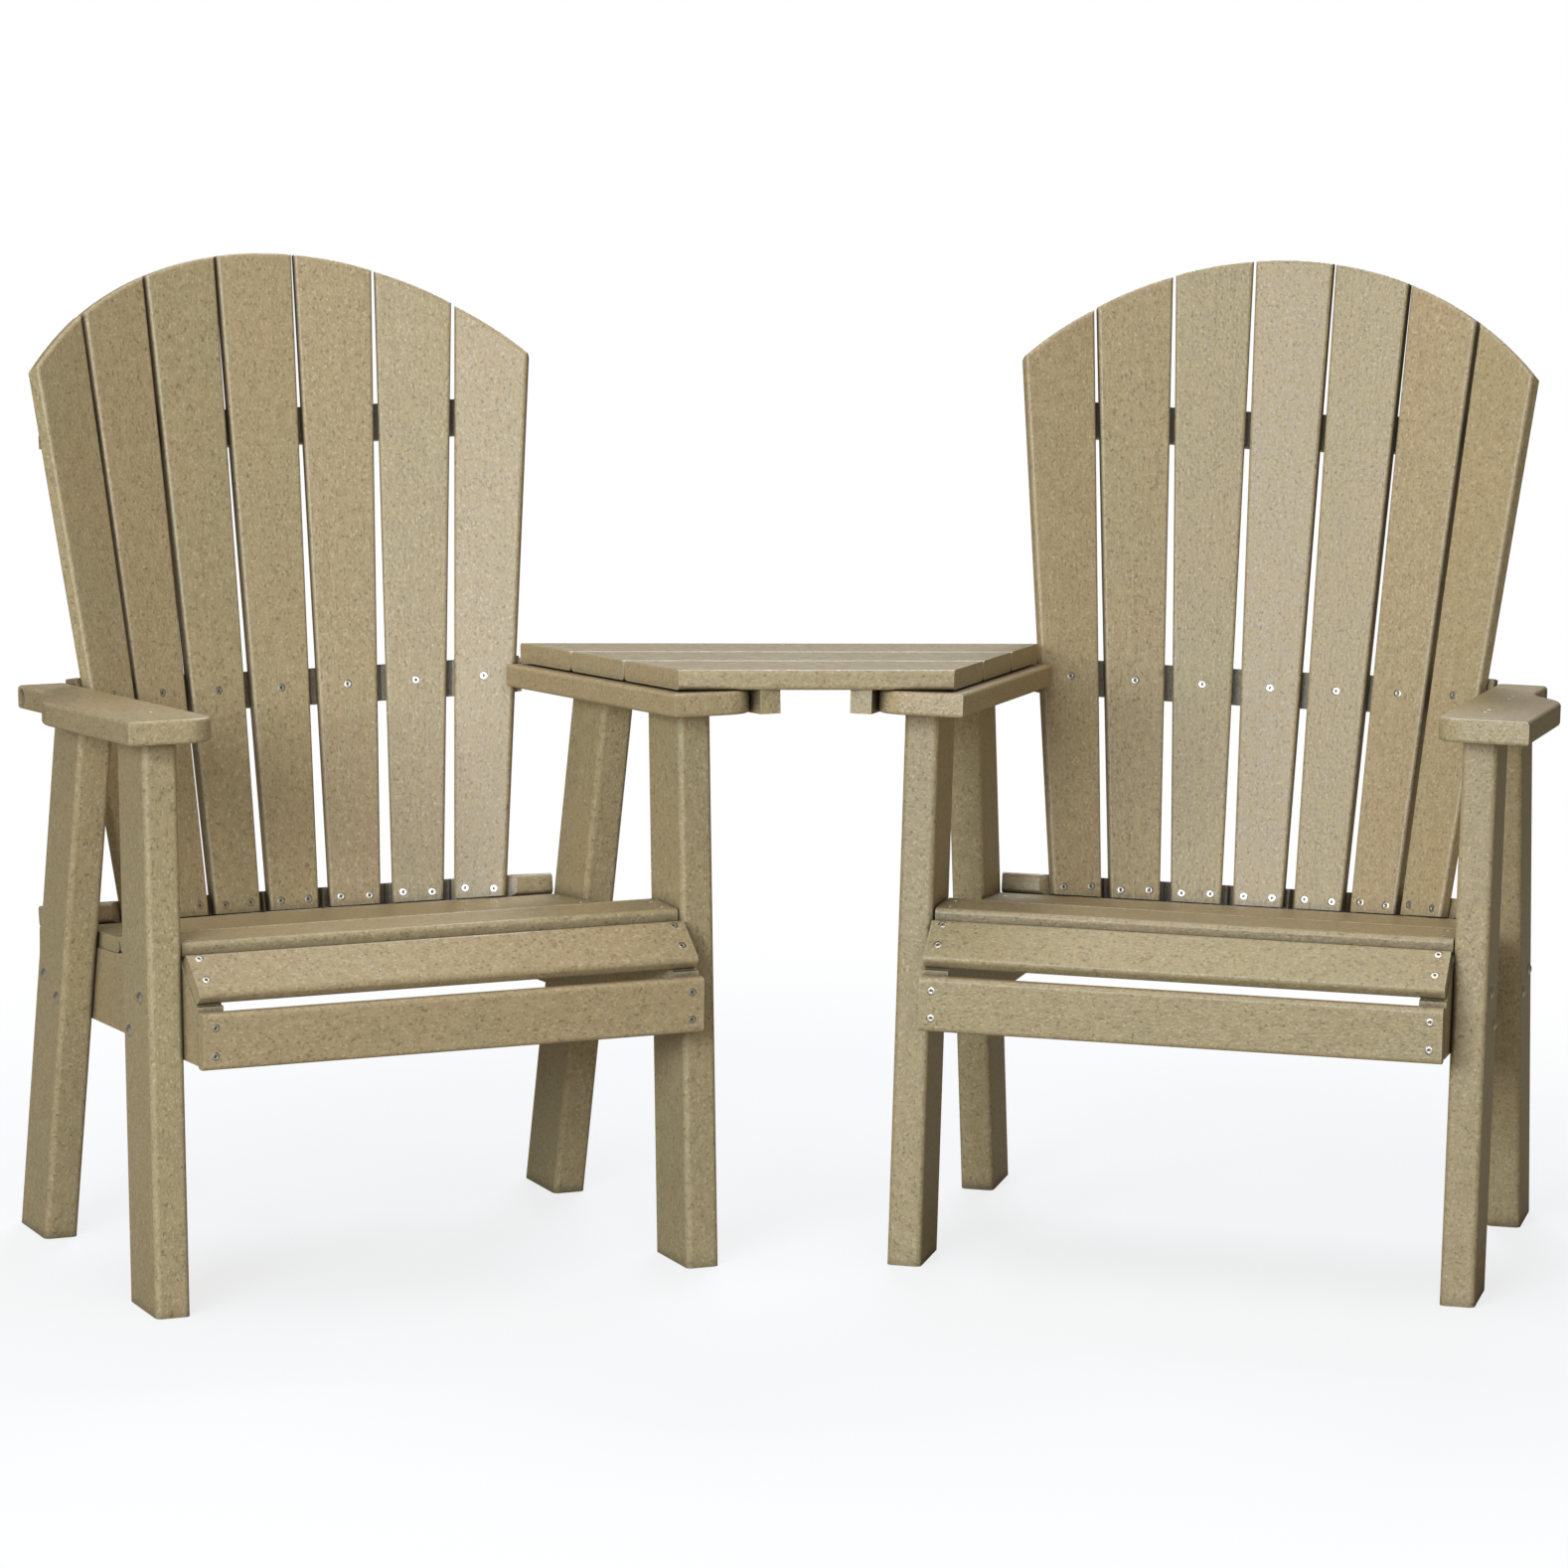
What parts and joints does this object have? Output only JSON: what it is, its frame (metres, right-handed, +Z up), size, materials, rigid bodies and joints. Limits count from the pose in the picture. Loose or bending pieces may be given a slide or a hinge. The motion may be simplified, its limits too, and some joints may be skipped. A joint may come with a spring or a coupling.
{
  "type": "companion seat bench",
  "caption": "Two fan-backed slatted garden chairs turned slightly towards each other, joined by a sloping slatted table fixed on their inner arms.",
  "frame": {"origin": "on the floor under the middle of the bench's outline", "axes": "+X left to right as seen from the front, along the pair of chairs; +Y to the rear; +Z up"},
  "size_m": [1.7184, 0.7758, 1.0689],
  "materials": {
    "poly_lumber": "weathered tan moulded grain, matte with a faint sheen",
    "stainless": "plain stainless"
  },
  "bodies": {
    "root": {"arm_screws": "stainless", "back_slat_screws": "stainless", "cleat_screws": "stainless", "left_apron": "poly_lumber", "left_back_slat_1": "poly_lumber", "left_back_slat_2": "poly_lumber", "left_back_slat_3": "poly_lumber", "left_back_slat_4": "poly_lumber", "left_back_slat_5": "poly_lumber", "left_back_slat_6": "poly_lumber", "left_back_slat_7": "poly_lumber", "left_front_inner_leg": "poly_lumber", "left_front_outer_leg": "poly_lumber", "left_inner_arm": "poly_lumber", "left_inner_side_rail": "poly_lumber", "left_lower_back_rail": "poly_lumber", "left_middle_back_rail": "poly_lumber", "left_outer_arm": "poly_lumber", "left_outer_side_rail": "poly_lumber", "left_rear_inner_leg": "poly_lumber", "left_rear_outer_leg": "poly_lumber", "left_seat_nosing": "poly_lumber", "left_seat_slat_1": "poly_lumber", "left_seat_slat_2": "poly_lumber", "left_seat_slat_3": "poly_lumber", "left_table_cleat": "poly_lumber", "left_top_back_rail": "poly_lumber", "leg_bolt_nuts": "stainless", "leg_bolt_washers": "stainless", "leg_bolts": "stainless", "right_apron": "poly_lumber", "right_back_slat_1": "poly_lumber", "right_back_slat_2": "poly_lumber", "right_back_slat_3": "poly_lumber", "right_back_slat_4": "poly_lumber", "right_back_slat_5": "poly_lumber", "right_back_slat_6": "poly_lumber", "right_back_slat_7": "poly_lumber", "right_front_inner_leg": "poly_lumber", "right_front_outer_leg": "poly_lumber", "right_inner_arm": "poly_lumber", "right_inner_side_rail": "poly_lumber", "right_lower_back_rail": "poly_lumber", "right_middle_back_rail": "poly_lumber", "right_outer_arm": "poly_lumber", "right_outer_side_rail": "poly_lumber", "right_rear_inner_leg": "poly_lumber", "right_rear_outer_leg": "poly_lumber", "right_seat_nosing": "poly_lumber", "right_seat_slat_1": "poly_lumber", "right_seat_slat_2": "poly_lumber", "right_seat_slat_3": "poly_lumber", "right_table_cleat": "poly_lumber", "right_top_back_rail": "poly_lumber", "seat_end_slats": "poly_lumber", "seat_screws": "stainless", "table_board_1": "poly_lumber", "table_board_2": "poly_lumber", "table_board_3": "poly_lumber", "top_rail_screws": "stainless"}
  },
  "joints": []
}
